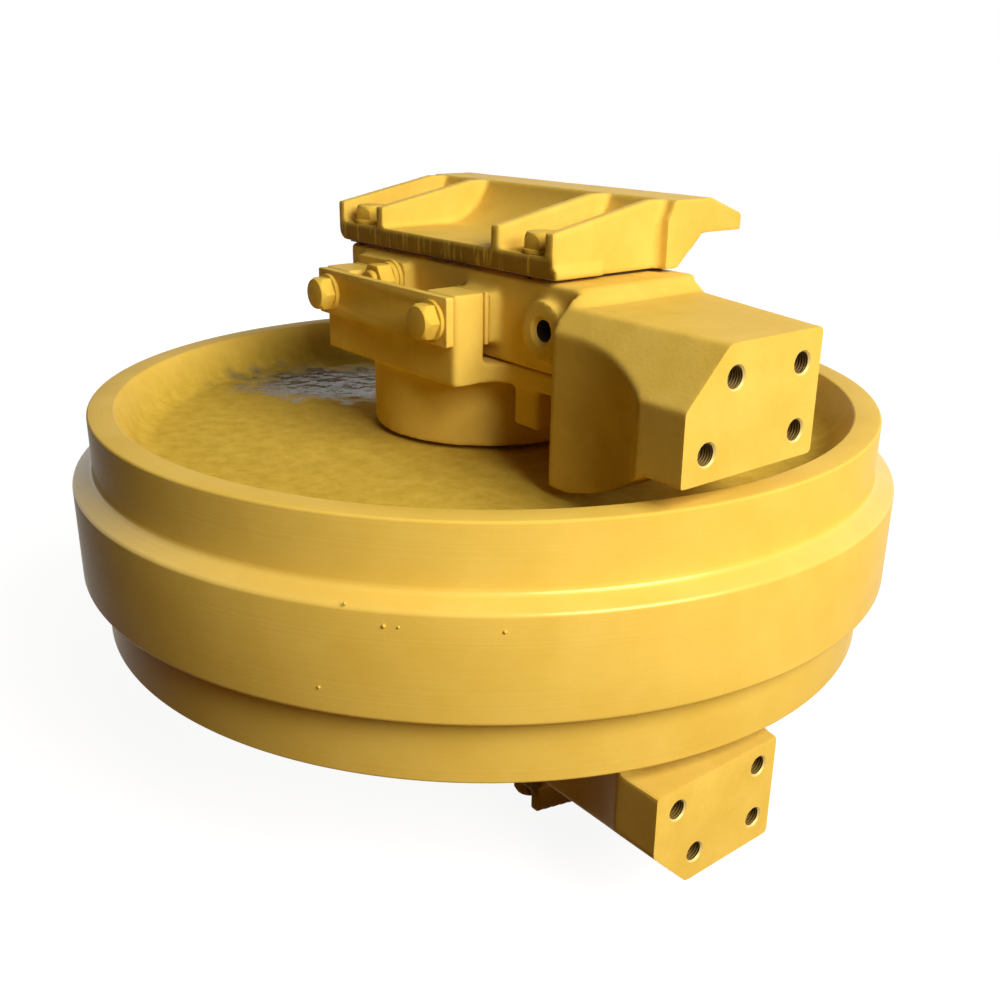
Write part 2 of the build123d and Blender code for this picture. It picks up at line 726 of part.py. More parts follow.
guide_bolt_length = (washer_thickness + slab_thickness + guide_shim_thickness + engagement
                     - 2 * thread_run_out)
with BuildPart() as guide_bolts_upper:
    with Locations(*[place.offset(washer_thickness) for place in pocket_seats]):
        add(hex_bolt(guide_bolt_length))

with BuildPart() as guide_dowels_upper:
    with BuildSketch(Plane.XY.offset(body_top_z - dowel_length / 2)):
        with Locations(*[(guide_middle_x + side * dowel_spacing / 2, dowel_y) for side in (-1, 1)]):
            Circle(dowel_radius)
    extrude(amount=dowel_length)

# Guide shim: one strip under the whole slab, set back from its edges
with BuildPart() as guide_shims_upper:
    with BuildSketch(Plane.XY.offset(body_top_z)):
        with Locations((guide_middle_x, 0)):
            Rectangle(guide_right - guide_left - 2 * shim_edge, 2 * (body_front - shim_edge))
        with Locations(*[(x, guide_bolt_y) for x in (pocket_bolt_left_x, pocket_bolt_right_x)]):
            Circle(clearance_hole_radius, mode=Mode.SUBTRACT)
        with Locations(*[(guide_middle_x + side * dowel_spacing / 2, dowel_y) for side in (-1, 1)]):
            Circle(dowel_radius, mode=Mode.SUBTRACT)
    extrude(amount=guide_shim_thickness)

# Every upper piece has a mirrored twin below the wheel
upper_pieces = {
    "bushing": bushing_upper,
    "rotating_seal_ring": rotating_seal_ring_upper,
    "stationary_seal_ring": stationary_seal_ring_upper,
    "rotating_toric": rotating_toric_upper,
    "stationary_toric": stationary_toric_upper,
    "shaft_oring": shaft_oring_upper,
    "collar": collar_upper,
    "bracket": bracket_upper,
    "lock_bolt": lock_bolt_upper,
    "lock_nut": lock_nut_upper,
    "lock_washers": lock_washers_upper,
    "ear_shims": ear_shims_upper,
    "retainer_plate": retainer_plate_upper,
    "retainer_washers": retainer_washers_upper,
    "retainer_bolts": retainer_bolts_upper,
    "side_guide": side_guide_upper,
    "guide_washers": guide_washers_upper,
    "guide_bolts": guide_bolts_upper,
    "guide_dowels": guide_dowels_upper,
    "guide_shims": guide_shims_upper,
}
for name, upper in upper_pieces.items():
    upper.part.label = name + "_upper"
    export_step(upper.part, "parts/" + name + "_upper.step")
    with BuildPart() as lower:
        mirror(upper.part, about=Plane.XY)
    lower.part.label = name + "_lower"
    export_step(lower.part, "parts/" + name + "_lower.step")
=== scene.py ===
# Front idler of a large crawler excavator, fresh from the paint booth and lying on its side.
# Metres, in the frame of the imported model: the wheel's axis is Z, and its middle is the origin.
import math

import bpy
from mathutils import Matrix, Vector


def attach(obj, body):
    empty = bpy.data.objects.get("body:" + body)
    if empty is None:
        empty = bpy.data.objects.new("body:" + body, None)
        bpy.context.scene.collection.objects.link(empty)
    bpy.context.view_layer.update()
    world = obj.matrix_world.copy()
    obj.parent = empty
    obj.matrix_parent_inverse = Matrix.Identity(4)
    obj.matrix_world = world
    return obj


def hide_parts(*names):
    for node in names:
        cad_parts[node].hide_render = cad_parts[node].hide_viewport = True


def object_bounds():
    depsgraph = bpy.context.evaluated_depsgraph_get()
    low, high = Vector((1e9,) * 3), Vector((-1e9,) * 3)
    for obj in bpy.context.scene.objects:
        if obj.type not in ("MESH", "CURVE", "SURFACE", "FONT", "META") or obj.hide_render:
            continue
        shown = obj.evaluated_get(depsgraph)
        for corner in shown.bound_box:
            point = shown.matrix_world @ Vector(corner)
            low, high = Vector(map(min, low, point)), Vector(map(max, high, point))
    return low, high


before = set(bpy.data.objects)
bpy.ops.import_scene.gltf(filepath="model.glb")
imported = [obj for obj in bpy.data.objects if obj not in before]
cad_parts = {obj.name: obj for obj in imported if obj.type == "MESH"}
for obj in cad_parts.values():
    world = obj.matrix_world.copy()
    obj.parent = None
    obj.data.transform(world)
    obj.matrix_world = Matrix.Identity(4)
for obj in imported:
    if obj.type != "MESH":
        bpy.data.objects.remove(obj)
cad_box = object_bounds()
MM = 0.001


# Camera
# The photographer stood off the idler's front right corner, a little above the bracket, and looked down at
# the wheel. The lens is a short normal one, so the near rim looks larger than the far one.
camera_place = (0.8808, -0.6976, 0.3996)
camera_heading = math.radians(140.8)
camera_tilt = math.radians(20.5)
camera_roll = math.radians(0.7)
camera_lens = 39.66
bpy.ops.object.camera_add()
camera = bpy.context.object
camera.name = "camera"
turn = Matrix.Rotation(camera_heading - math.pi / 2, 4, "Z")
nod = Matrix.Rotation(math.pi / 2 - camera_tilt, 4, "X")
lean = Matrix.Rotation(camera_roll, 4, "Z")
camera.matrix_world = Matrix.Translation(camera_place) @ turn @ nod @ lean
camera.data.lens = camera_lens
camera.data.sensor_width = 36.0
camera.data.clip_start = 0.01
bpy.context.scene.camera = camera
bpy.context.scene.view_settings.view_transform = "Standard"


# Floor and light
# A pale studio floor under a white backdrop. One large softbox stands at the right, as the window does in the
# photograph. A faint sky and two weak lamps, above and behind, fill the shadows.
def linear(hex_colour):
    """An sRGB colour such as "e0a020" as linear red, green, blue and alpha."""
    values = [int(hex_colour[i:i + 2], 16) / 255 for i in (0, 2, 4)]
    return [v / 12.92 if v <= 0.04045 else ((v + 0.055) / 1.055) ** 2.4 for v in values] + [1.0]


def add_node(tree, kind, settings=None, links=None):
    """Adds a node to a tree.

    Settings name its properties or inputs, and links name its inputs and the sockets that feed them.
    """
    node = tree.nodes.new(kind)
    for key, value in (settings or {}).items():
        if isinstance(key, str) and hasattr(node, key):
            setattr(node, key, value)
        else:
            node.inputs[key].default_value = value
    for key, socket in (links or {}).items():
        tree.links.new(socket, node.inputs[key])
    return node


def blank_finish(name):
    """A material without nodes, and its tree."""
    made = bpy.data.materials.new(name)
    made.use_nodes = True
    made.node_tree.nodes.clear()
    return made, made.node_tree


def seen_directly(tree):
    """One for what the camera, a gloss or a clear body shows, nothing for light that a surface scatters."""
    ray = add_node(tree, "ShaderNodeLightPath")
    shown = add_node(tree, "ShaderNodeMath", {"operation": "MAXIMUM"},
                     {0: ray.outputs["Is Camera Ray"], 1: ray.outputs["Is Glossy Ray"]})
    return add_node(tree, "ShaderNodeMath", {"operation": "MAXIMUM"},
                    {0: shown.outputs[0], 1: ray.outputs["Is Transmission Ray"]}).outputs[0]


floor_size = 30.0
floor_gap = 0.3 * MM
bpy.ops.mesh.primitive_plane_add(size=floor_size, location=(0, 0, cad_box[0].z - floor_gap))
floor = bpy.context.object
floor.name = "floor"

# Matt floor paint: nearly white to the eye, with the idler's soft shadow on it. The light that it sends back
# up is weak and warm, so the idler's underside stays a deep yellow.
fade_start, fade_end = 0.5, 2.5
floor_paint, tree = blank_finish("pale_studio_floor")
place = add_node(tree, "ShaderNodeTexCoord").outputs["Object"]
far = add_node(tree, "ShaderNodeVectorMath", {"operation": "LENGTH"}, {0: place}).outputs["Value"]
fade = add_node(tree, "ShaderNodeMapRange", {1: fade_start, 2: fade_end, 3: 0.92, 4: 1.0}, {0: far})
glow = add_node(tree, "ShaderNodeEmission", {"Color": linear("ffffff")}, {"Strength": fade.outputs[0]})
lit = add_node(tree, "ShaderNodeBsdfDiffuse", {"Color": linear("808080")})
bright = add_node(tree, "ShaderNodeAddShader", links={0: glow.outputs[0], 1: lit.outputs[0]})
dim = add_node(tree, "ShaderNodeBsdfDiffuse", {"Color": linear("6c4a0e")})
shown = add_node(tree, "ShaderNodeMixShader", links={"Fac": seen_directly(tree), 1: dim.outputs[0],
                                                     2: bright.outputs[0]})
add_node(tree, "ShaderNodeOutputMaterial", links={"Surface": shown.outputs[0]})
floor.data.materials.append(floor_paint)

# White backdrop paper: plain white where it is seen or mirrored, and only a faint warm light on the paint.
sky_strength = 0.016
world = bpy.data.worlds.new("white_backdrop")
bpy.context.scene.world = world
world.use_nodes = True
tree = world.node_tree
tree.nodes.clear()
sky = add_node(tree, "ShaderNodeBackground", {"Color": linear("ffdc8c"), "Strength": sky_strength})
backdrop = add_node(tree, "ShaderNodeBackground", {"Color": linear("ffffff"), "Strength": 1.0})
shown = add_node(tree, "ShaderNodeMixShader", links={"Fac": seen_directly(tree), 1: sky.outputs[0],
                                                     2: backdrop.outputs[0]})
add_node(tree, "ShaderNodeOutputWorld", links={"Surface": shown.outputs[0]})


def softbox(name, heading, elevation, distance, width, height, power, colour):
    """A rectangular lamp that looks at the origin from a compass heading and a height, both in degrees."""
    across, up = math.radians(heading), math.radians(elevation)
    away = Vector((math.cos(across) * math.cos(up), math.sin(across) * math.cos(up), math.sin(up)))
    bpy.ops.object.light_add(type="AREA", location=away * distance)
    lamp = bpy.context.object
    lamp.name = name
    lamp.rotation_euler = away.to_track_quat("Z", "Y").to_euler()
    lamp.data.shape = "RECTANGLE"
    lamp.data.size = width
    lamp.data.size_y = height
    lamp.data.energy = power
    lamp.data.color = linear(colour)[:3]
    return lamp


softbox("window_light", heading=-1, elevation=34, distance=3.2, width=1.9, height=1.8, power=148,
        colour="fffaf0")
softbox("overhead_fill", heading=60, elevation=80, distance=3.0, width=2.0, height=2.0, power=4,
        colour="f4f6ff")
rear = softbox("rear_fill", heading=140, elevation=12, distance=3.2, width=2.0, height=1.6, power=30,
               colour="fff2dc")
# The rear lamp is left out of every gloss, or the rims would mirror it as bright lines.
rear.visible_glossy = False


# Wheel
# One hollow steel casting, turned on its treads, flange and rims. The webs stay as cast. It is drawn here
# ring by ring, as on a lathe, with the small radii that the turning tool leaves at every shoulder.
def pick(piece):
    """Leaves one piece selected and active."""
    bpy.ops.object.select_all(action="DESELECT")
    piece.select_set(True)
    bpy.context.view_layer.objects.active = piece


def edit_all(piece):
    """Goes into edit mode on one piece with all of its mesh selected."""
    pick(piece)
    bpy.ops.object.mode_set(mode="EDIT")
    bpy.ops.mesh.select_all(action="SELECT")


def select_edges(piece, test):
    """Goes into edit mode with only the edges selected whose two ends pass a test."""
    pick(piece)
    bpy.ops.object.mode_set(mode="EDIT")
    bpy.ops.mesh.select_mode(type="EDGE")
    bpy.ops.mesh.select_all(action="DESELECT")
    bpy.ops.object.mode_set(mode="OBJECT")
    mesh = piece.data
    for edge in mesh.edges:
        edge.select = all(test(mesh.vertices[v].co) for v in edge.vertices)
    bpy.ops.object.mode_set(mode="EDIT")


def turned(name, rings, corners, sides):
    """A closed body of revolution about Z from rings of radius and height in millimetres.

    Corners give a tangent length and a number of steps for each ring that is rounded.
    """
    first_radius, first_height = rings[0]
    bpy.ops.object.select_all(action="DESELECT")
    bpy.ops.mesh.primitive_circle_add(vertices=sides, radius=first_radius * MM,
                                      location=(0, 0, first_height * MM))
    piece = bpy.context.object
    piece.name = name
    bpy.ops.object.transform_apply(location=True, rotation=True, scale=True)
    bpy.ops.object.mode_set(mode="EDIT")
    bpy.ops.mesh.select_mode(type="EDGE")
    bpy.ops.mesh.select_all(action="SELECT")
    radius, height = first_radius, first_height
    for next_radius, next_height in rings[1:] + rings[:1]:
        bpy.ops.mesh.extrude_edges_move()
        bpy.ops.transform.resize(value=(next_radius / radius, next_radius / radius, 1),
                                 center_override=(0, 0, height * MM))
        bpy.ops.transform.translate(value=(0, 0, (next_height - height) * MM))
        radius, height = next_radius, next_height
    bpy.ops.mesh.select_all(action="SELECT")
    bpy.ops.mesh.remove_doubles(threshold=0.001 * MM)
    bpy.ops.mesh.normals_make_consistent(inside=False)
    bpy.ops.object.mode_set(mode="OBJECT")
    near = 0.02 * MM
    for (radius, height), (reach, steps) in corners.items():
        select_edges(piece, lambda p: (abs(p.xy.length - radius * MM) < near
                                       and abs(p.z - height * MM) < near))
        bpy.ops.mesh.bevel(offset=reach * MM, segments=steps, affect="EDGES", clamp_overlap=False)
        bpy.ops.object.mode_set(mode="OBJECT")
    return piece


def shade(piece, angle):
    """Smooth shading, broken only at edges sharper than an angle in degrees."""
    pick(piece)
    bpy.ops.object.shade_smooth_by_angle(angle=math.radians(angle))


def joined(name, pieces):
    """Several pieces as one."""
    bpy.ops.object.select_all(action="DESELECT")
    for piece in pieces:
        piece.select_set(True)
    bpy.context.view_layer.objects.active = pieces[0]
    bpy.ops.object.join()
    pieces[0].name = name
    return pieces[0]


tread_radius = 395.0
flange_radius = 414.5
half_width = 110.5
web_height = 72.0
rim_inner = 370.0
wall_foot = 346.0
hub_radius = 92.0
hub_height = 106.0
shoulder_height = 54.0
crest_height = 46.0
seal_bore = 76.0
bearing_bore = 58.06
bearing_end = 24.0
flange_seat = 80.0
upper_rings = [
    (seal_bore, bearing_end), (bearing_bore, bearing_end), (bearing_bore, flange_seat),
    (seal_bore, flange_seat), (seal_bore, hub_height), (hub_radius, hub_height), (hub_radius, web_height),
    (wall_foot, web_height), (rim_inner, half_width), (tread_radius, half_width),
    (tread_radius, shoulder_height), (flange_radius, crest_height),
]
lower_rings = [(radius, -height) for radius, height in reversed(upper_rings)]
rounded = {}
for side in (1, -1):
    rounded[(hub_radius, side * web_height)] = (8.0, 6)
    rounded[(wall_foot, side * web_height)] = (12.0, 10)
    rounded[(rim_inner, side * half_width)] = (1.6, 4)
    rounded[(tread_radius, side * half_width)] = (2.6, 5)
    rounded[(tread_radius, side * shoulder_height)] = (5.0, 6)
    rounded[(flange_radius, side * crest_height)] = (3.0, 6)
wheel = turned("idler_wheel_turned", upper_rings + lower_rings, rounded, sides=288)

# Nibs of grit that the enamel covered on the flange, each a low dome: bearing in degrees, height and radius.
nibs = [(-48.5, 34.0, 1.6), (-47.0, 34.0, 1.1), (-52.5, 49.0, 1.3), (-36.3, 33.0, 1.5), (-55.8, -24.0, 1.3)]
domes = []
for bearing, nib_height, nib_radius in nibs:
    across = math.radians(bearing)
    bpy.ops.object.select_all(action="DESELECT")
    bpy.ops.mesh.primitive_uv_sphere_add(segments=20, ring_count=12, radius=nib_radius * MM,
                                         location=(flange_radius * math.cos(across) * MM,
                                                   flange_radius * math.sin(across) * MM, nib_height * MM))
    bpy.ops.object.transform_apply(location=True, rotation=True, scale=True)
    domes.append(bpy.context.object)
wheel = joined("idler_wheel_turned", [wheel] + domes)
shade(wheel, 50)


# Spray enamel over steel shows an even yellow that drifts a little in patches, with a soft sheen. Its mirror
# is weak and warm here, because a white backdrop all round would turn a stronger one grey.
enamel_mirror = 0.015
enamel_mirror_colour = "ffefc0"


def enamel(name, light, deep, roughness, grain_mm, grain_depth_mm, patch_mm):
    """Enamel whose colour drifts over patches, and which shows a grain of the metal below.

    Returns the material, its tree, the place on the piece, the shader, the bump and the tint node.
    """
    made, tree = blank_finish(name)
    place = add_node(tree, "ShaderNodeTexCoord").outputs["Object"]
    drift = add_node(tree, "ShaderNodeTexNoise",
                     {"Scale": 1 / (patch_mm * MM), "Detail": 5.0, "Roughness": 0.6}, {"Vector": place})
    even = add_node(tree, "ShaderNodeMapRange", {1: 0.30, 2: 0.70}, {0: drift.outputs["Fac"]})
    tint = add_node(tree, "ShaderNodeMix", {"data_type": "RGBA", 6: linear(deep), 7: linear(light)},
                    {0: even.outputs[0]})
    grain = add_node(tree, "ShaderNodeTexNoise", {"Scale": 1 / (grain_mm * MM), "Detail": 3.0},
                     {"Vector": place})
    bump = add_node(tree, "ShaderNodeBump", {"Distance": grain_depth_mm * MM, "Strength": 1.0},
                    {"Height": grain.outputs["Fac"]})
    shader = add_node(tree, "ShaderNodeBsdfPrincipled",
                      {"Roughness": roughness, "IOR": 1.5, "Specular IOR Level": enamel_mirror,
                       "Specular Tint": linear(enamel_mirror_colour)},
                      {"Base Color": tint.outputs[2], "Normal": bump.outputs["Normal"]})
    add_node(tree, "ShaderNodeOutputMaterial", links={"Surface": shader.outputs[0]})
    return made, tree, place, shader, bump, tint


# The wheel's enamel: smooth on the turned faces and duller on the webs. One glossy pool lies beside the
# barrel, as if still wet, and mirrors the backdrop; its dark grey-brown colour is painted shadow of the
# bracket and barrel on the web.
tread_roughness = 0.30
turned_enamel, tree, place, shader, bump, tint = enamel(
    "enamel_over_turned_steel", light="e8c45c", deep="dfb94e", roughness=tread_roughness, grain_mm=2.5,
    grain_depth_mm=0.06, patch_mm=70)
spot = add_node(tree, "ShaderNodeSeparateXYZ", links={0: place})
flat = add_node(tree, "ShaderNodeCombineXYZ", links={"X": spot.outputs["X"], "Y": spot.outputs["Y"]})
radius = add_node(tree, "ShaderNodeVectorMath", {"operation": "LENGTH"},
                  {0: flat.outputs[0]}).outputs["Value"]
height = add_node(tree, "ShaderNodeMath", {"operation": "ABSOLUTE"}, {0: spot.outputs["Z"]}).outputs[0]

# The recess, whose floor is the web, is drawn a darker sandy olive, mottled every 18 mm or so: partly the
# web's thin coat on the as-cast steel, partly painted shade in the recess.
olive_shade_outer, olive_shade_inner = 371.0, 352.0
web_start, web_full = 88.0, 74.0
web_roughness = 0.60
inside = add_node(tree, "ShaderNodeMapRange", {1: olive_shade_outer * MM, 2: olive_shade_inner * MM, 3: 0.0, 4: 1.0},
                  {0: radius}).outputs[0]
deep_down = add_node(tree, "ShaderNodeMapRange", {1: web_start * MM, 2: web_full * MM, 3: 0.0, 4: 1.0},
                     {0: height}).outputs[0]
web = add_node(tree, "ShaderNodeMath", {"operation": "MULTIPLY"}, {0: inside, 1: deep_down}).outputs[0]
mottle = add_node(tree, "ShaderNodeTexNoise", {"Scale": 1 / (18 * MM), "Detail": 4.0, "Roughness": 0.6},
                  {"Vector": place})
blotch = add_node(tree, "ShaderNodeMapRange", {1: 0.35, 2: 0.65}, {0: mottle.outputs["Fac"]}).outputs[0]
olive_and_shade = add_node(tree, "ShaderNodeMix", {"data_type": "RGBA", 6: linear("c6a43c"), 7: linear("d6b54a")},
                 {0: blotch})
recess_olive_shade = add_node(tree, "ShaderNodeMix", {"data_type": "RGBA"},
                  {0: inside, 6: tint.outputs[2], 7: olive_and_shade.outputs[2]})
gloss = add_node(tree, "ShaderNodeMix", {2: tread_roughness, 3: web_roughness}, {0: web})

# The pool of paint is an oval with a ragged edge, which ripples of about 24 mm push in and out.
pool_place = (-222.0 * MM, -42.0 * MM, web_height * MM)
pool_turn = math.radians(140.8)
pool_stretch = (0.78, 1.25, 1.0)
pool_core, pool_end, pool_ragged = 60.0, 120.0, 80.0
pool_roughness = 0.17
pool_mirror = 0.38
beside = add_node(tree, "ShaderNodeMapping",
                  {"vector_type": "TEXTURE", "Location": pool_place, "Rotation": (0.0, 0.0, pool_turn),
                   "Scale": pool_stretch}, {"Vector": place})
reach = add_node(tree, "ShaderNodeVectorMath", {"operation": "LENGTH"},
                 {0: beside.outputs[0]}).outputs["Value"]
ripple = add_node(tree, "ShaderNodeTexNoise", {"Scale": 1 / (24 * MM), "Detail": 3.0}, {"Vector": place})
edge = add_node(tree, "ShaderNodeMath",
                {"operation": "MULTIPLY_ADD", 1: 2 * pool_ragged * MM, 2: -pool_ragged * MM},
                {0: ripple.outputs["Fac"]}).outputs[0]
ragged = add_node(tree, "ShaderNodeMath", {"operation": "ADD"}, {0: reach, 1: edge}).outputs[0]
spread = add_node(tree, "ShaderNodeMapRange", {1: pool_end * MM, 2: pool_core * MM, 3: 0.0, 4: 1.0},
                  {0: ragged}).outputs[0]
pool_and_shade = add_node(tree, "ShaderNodeMath", {"operation": "MULTIPLY"}, {0: spread, 1: web}).outputs[0]
sheen = add_node(tree, "ShaderNodeMix", {3: pool_roughness}, {0: pool_and_shade, 2: gloss.outputs[0]})
tree.links.new(sheen.outputs[0], shader.inputs["Roughness"])
# Inside the pool the colour turns a dark grey-brown: painted shadow of the bracket and barrel on the web.
pool_painted_shade = add_node(tree, "ShaderNodeMix", {"data_type": "RGBA", 7: linear("494330")},
                  {0: pool_and_shade, 6: recess_olive_shade.outputs[2]})
tree.links.new(pool_painted_shade.outputs[2], shader.inputs["Base Color"])

# The upper cone between tread and flange is rubbed smooth, and mirrors far more of the light than the rest.
cone_middle = (shoulder_height + crest_height) / 2
cone_reach = 5.5
cone_mirror = 0.70
tread_mirror = 0.01
cone = add_node(tree, "ShaderNodeMath", {"operation": "COMPARE", 1: cone_middle * MM, 2: cone_reach * MM},
                {0: spot.outputs["Z"]}).outputs[0]
clean = add_node(tree, "ShaderNodeMix", {2: tread_mirror, 3: cone_mirror}, {0: cone})
wet = add_node(tree, "ShaderNodeMix", {3: pool_mirror}, {0: pool_and_shade, 2: clean.outputs[0]})
tree.links.new(wet.outputs[0], shader.inputs["Specular IOR Level"])

# The tool's marks run round the wheel and show through the enamel. Real ones are under a millimetre apart,
# and these are drawn 3 mm apart so that they show. The pool ripples, and the web has the sand mould's skin.
mark_gap = 3.0
mark_depth = 0.10
ripple_depth = 5.0
skin_grain = 7.0
skin_depth = 0.5
outwards = add_node(tree, "ShaderNodeMath", {"operation": "ADD"}, {0: radius, 1: spot.outputs["Z"]})
feed = add_node(tree, "ShaderNodeMath", {"operation": "MULTIPLY", 1: 1 / (mark_gap * MM)},
                {0: outwards.outputs[0]})
marks = add_node(tree, "ShaderNodeTexNoise", {"noise_dimensions": "1D", "Scale": 1.0, "Detail": 3.0},
                 {"W": feed.outputs[0]})
machined = add_node(tree, "ShaderNodeMath", {"operation": "SUBTRACT", 0: 1.0}, {1: inside}).outputs[0]
turning = add_node(tree, "ShaderNodeBump", {"Distance": mark_depth * MM},
                   {"Strength": machined, "Height": marks.outputs["Fac"], "Normal": bump.outputs["Normal"]})
swell = add_node(tree, "ShaderNodeMath", {"operation": "MULTIPLY"}, {0: ripple.outputs["Fac"], 1: pool_and_shade})
waves = add_node(tree, "ShaderNodeBump", {"Distance": ripple_depth * MM},
                 {"Height": swell.outputs[0], "Normal": turning.outputs["Normal"]})
sand = add_node(tree, "ShaderNodeTexNoise", {"Scale": 1 / (skin_grain * MM), "Detail": 3.0},
                {"Vector": place})
as_cast = add_node(tree, "ShaderNodeMath", {"operation": "MULTIPLY"}, {0: sand.outputs["Fac"], 1: web})
skin = add_node(tree, "ShaderNodeBump", {"Distance": skin_depth * MM},
                {"Height": as_cast.outputs[0], "Normal": waves.outputs["Normal"]})
tree.links.new(skin.outputs["Normal"], shader.inputs["Normal"])
wheel.data.materials.append(turned_enamel)
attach(wheel, "wheel")
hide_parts("idler_wheel")


# Brackets
# Steel castings that carry the shaft's ends: a thick body, a boss, and an arm that ends in a block with four
# tapped holes for the tensioner's yoke. Sand moulds leave their edges round and their skin a little uneven.
def finish_with(piece, kind, **settings):
    """Adds a modifier and applies it."""
    pick(piece)
    step = piece.modifiers.new(kind.lower(), kind)
    for key, value in settings.items():
        setattr(step, key, value)
    bpy.ops.object.modifier_apply(modifier=step.name)


def rod(radius, start, end, end_radius=None):
    """A cylinder or a cone between two points, in millimetres."""
    start, end = Vector(start) * MM, Vector(end) * MM
    bpy.ops.object.select_all(action="DESELECT")
    bpy.ops.mesh.primitive_cone_add(vertices=64, radius1=radius * MM, radius2=(end_radius or radius) * MM,
                                    depth=(end - start).length, location=(start + end) / 2,
                                    rotation=(end - start).to_track_quat("Z", "Y").to_euler())
    piece = bpy.context.object
    bpy.ops.object.transform_apply(location=True, rotation=True, scale=True)
    return piece


def copied(name, mesh):
    """A new piece with its own copy of a mesh."""
    piece = bpy.data.objects.new(name, mesh.copy())
    bpy.context.scene.collection.objects.link(piece)
    return piece


def solid_copy(name, node):
    """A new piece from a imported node's mesh, with its loose triangles merged."""
    piece = copied(name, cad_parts[node].data)
    edit_all(piece)
    bpy.ops.mesh.remove_doubles(threshold=0.005 * MM)
    bpy.ops.object.mode_set(mode="OBJECT")
    piece.data.materials.clear()
    return piece


sand_skin = bpy.data.textures.new("sand_skin", "CLOUDS")
sand_skin.noise_scale = 45.0 * MM
sand_skin_depth = 0.5


def cast(piece, skin_mm, softness):
    """Gives a piece the round edges and the slightly uneven skin of a sand casting."""
    finish_with(piece, "REMESH", mode="VOXEL", voxel_size=skin_mm * MM)
    finish_with(piece, "SMOOTH", factor=0.5, iterations=softness)
    finish_with(piece, "DISPLACE", texture=sand_skin, texture_coords="LOCAL", strength=sand_skin_depth * MM,
                mid_level=0.5)


def drill(piece, drills):
    """Cuts rods out of a casting."""
    cutter = joined("cutter", drills)
    finish_with(piece, "BOOLEAN", operation="DIFFERENCE", object=cutter, solver="EXACT")
    bpy.data.objects.remove(cutter)


def lower_twin(piece, name):
    """A piece's twin below the wheel, with its own mesh mirrored about the mid-plane."""
    twin = copied(name, piece.data)
    edit_all(twin)
    bpy.ops.transform.resize(value=(1, 1, -1), center_override=(0, 0, 0))
    bpy.ops.mesh.normals_make_consistent(inside=False)
    bpy.ops.object.mode_set(mode="OBJECT")
    return twin


def fit_pair(upper, node):
    """Settles an upper piece and its lower twin on the supports.

    They replace a node's upper and lower copies, if a node is named.
    """
    lower = lower_twin(upper, upper.name.replace("upper", "lower"))
    for piece, side in ((upper, "upper"), (lower, "lower")):
        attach(piece, "supports")
        if node:
            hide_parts(node + "_" + side)


def plain_finish(name, colour, metallic, roughness, mark_mm):
    """A finish whose roughness varies a little at the size of its machining marks."""
    made, tree = blank_finish(name)
    place = add_node(tree, "ShaderNodeTexCoord").outputs["Object"]
    marks = add_node(tree, "ShaderNodeTexNoise", {"Scale": 1 / (mark_mm * MM), "Detail": 2.0},
                     {"Vector": place})
    spread = add_node(tree, "ShaderNodeMapRange", {3: roughness * 0.8, 4: roughness * 1.2},
                      {0: marks.outputs["Fac"]})
    shader = add_node(tree, "ShaderNodeBsdfPrincipled", {"Base Color": linear(colour), "Metallic": metallic},
                      {"Roughness": spread.outputs[0]})
    add_node(tree, "ShaderNodeOutputMaterial", links={"Surface": shader.outputs[0]})
    return made


end_face = 388.5
yoke_holes = [(-1.0, 206.5), (-78.0, 206.5), (-1.0, 153.0), (-104.0, 153.0)]
yoke_depth = 46.0
tapping_radius = 10.2
boss_x, boss_z, boss_face, boss_back = 178.0, 204.7, -82.0, 73.0
boss_bore, boss_mouth, boss_countersink = 9.6, 13.6, 4.0

# The bracket is cast without its holes and with spare metal on its end face, which is then milled flat.
spare_metal = 5.0
yoke_plug_radius, yoke_plug_past = 11.0, 6.0
boss_plug_radius = 16.0
bracket = solid_copy("bracket_casting_upper", "bracket_upper")
for vertex in bracket.data.vertices:
    if vertex.co.x > (end_face - 0.5) * MM:
        vertex.co.x += spare_metal * MM
plugs = [rod(yoke_plug_radius, (end_face - yoke_depth - yoke_plug_past, y, z),
             (end_face + spare_metal - 0.2, y, z)) for y, z in yoke_holes]
plugs.append(rod(boss_plug_radius, (boss_x, boss_face + 0.2, boss_z), (boss_x, boss_back - 0.5, boss_z)))
bracket = joined("bracket_casting_upper", [bracket] + plugs)
cast(bracket, skin_mm=2.4, softness=6)
edit_all(bracket)
bpy.ops.mesh.bisect(plane_co=(end_face * MM, 0, 0), plane_no=(1, 0, 0), clear_outer=True, use_fill=True)
bpy.ops.object.mode_set(mode="OBJECT")

# The holes are then drilled, each from open air, and the boss's mouth is countersunk.
overrun = 8.0
drills = [rod(tapping_radius, (end_face - yoke_depth, y, z), (end_face + overrun, y, z))
          for y, z in yoke_holes]
drills.append(rod(boss_bore, (boss_x, boss_face - overrun, boss_z), (boss_x, boss_back + overrun, boss_z)))
drill(bracket, drills)
drill(bracket, [rod(boss_mouth + 1, (boss_x, boss_face - 1, boss_z),
                    (boss_x, boss_face + boss_countersink, boss_z), boss_bore)])
shade(bracket, 40)

# Enamel on a sand casting looks a little flatter than on turned steel, and the mould's grain shows through.
cast_enamel = enamel("enamel_over_cast_steel", light="e8c45c", deep="dbb54c", roughness=0.40, grain_mm=3.0,
                     grain_depth_mm=0.22, patch_mm=55)[0]
bracket.data.materials.append(cast_enamel)

# Past the countersink, deep in the boss's bore, the colour is near black: painted shade, which makes the
# hole look black.
bore_shade_start = boss_face + boss_countersink + 6.0
bracket.data.materials.append(plain_finish("painted_bore_shade", "2c1e0c", metallic=0.0, roughness=0.6, mark_mm=3.0))
for face in bracket.data.polygons:
    off_axis = math.hypot(face.center.x - boss_x * MM, face.center.z - boss_z * MM)
    if off_axis < (boss_bore + 0.2) * MM and face.center.y > bore_shade_start * MM:
        face.material_index = 1
fit_pair(bracket, "bracket")


